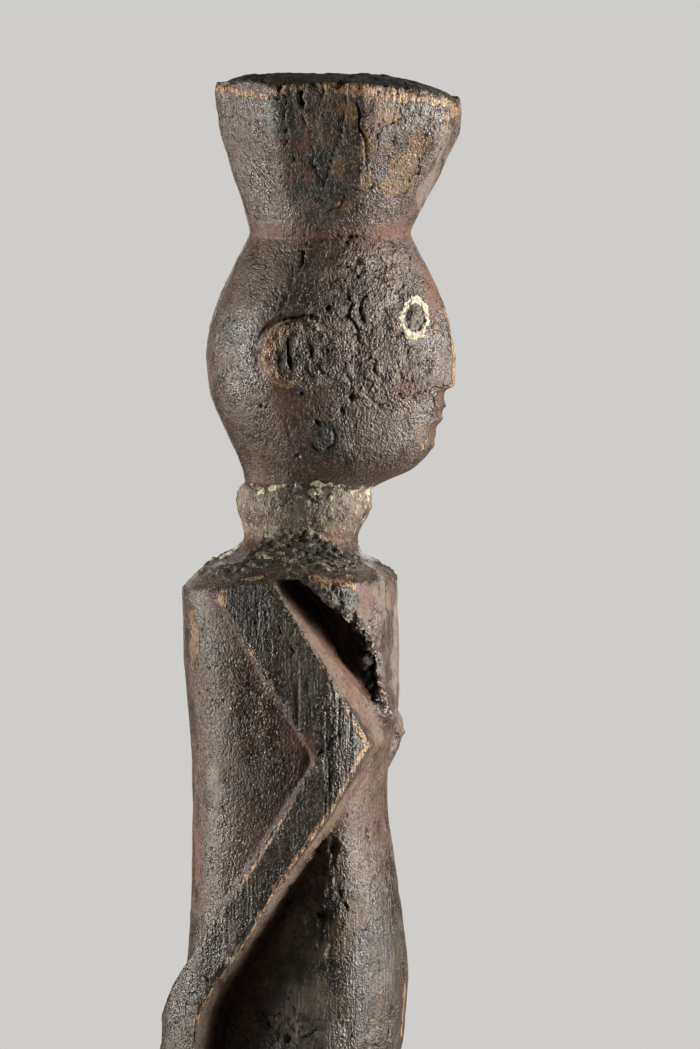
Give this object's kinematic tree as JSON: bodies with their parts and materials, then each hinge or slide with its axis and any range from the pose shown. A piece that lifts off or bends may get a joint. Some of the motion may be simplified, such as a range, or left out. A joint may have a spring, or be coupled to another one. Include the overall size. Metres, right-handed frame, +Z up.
{
  "type": "anthropomorphic statuette",
  "caption": "Carved dark wooden standing figure with a flaring flat-topped headdress, keel-shaped face, column-like body, zigzag arms in relief, bent legs and a low round base.",
  "frame": {"origin": "centre of the base's flat underside", "axes": "+Z up, the figure faces -Y, its left side is towards +X"},
  "size_m": [0.122, 0.1252, 0.56],
  "materials": {
    "dark_wood": "old dark brown patina with a dull polish, crusted at the neck, worn to lighter wood on the edges"
  },
  "bodies": {
    "root": {"figure": "dark_wood"}
  },
  "joints": []
}
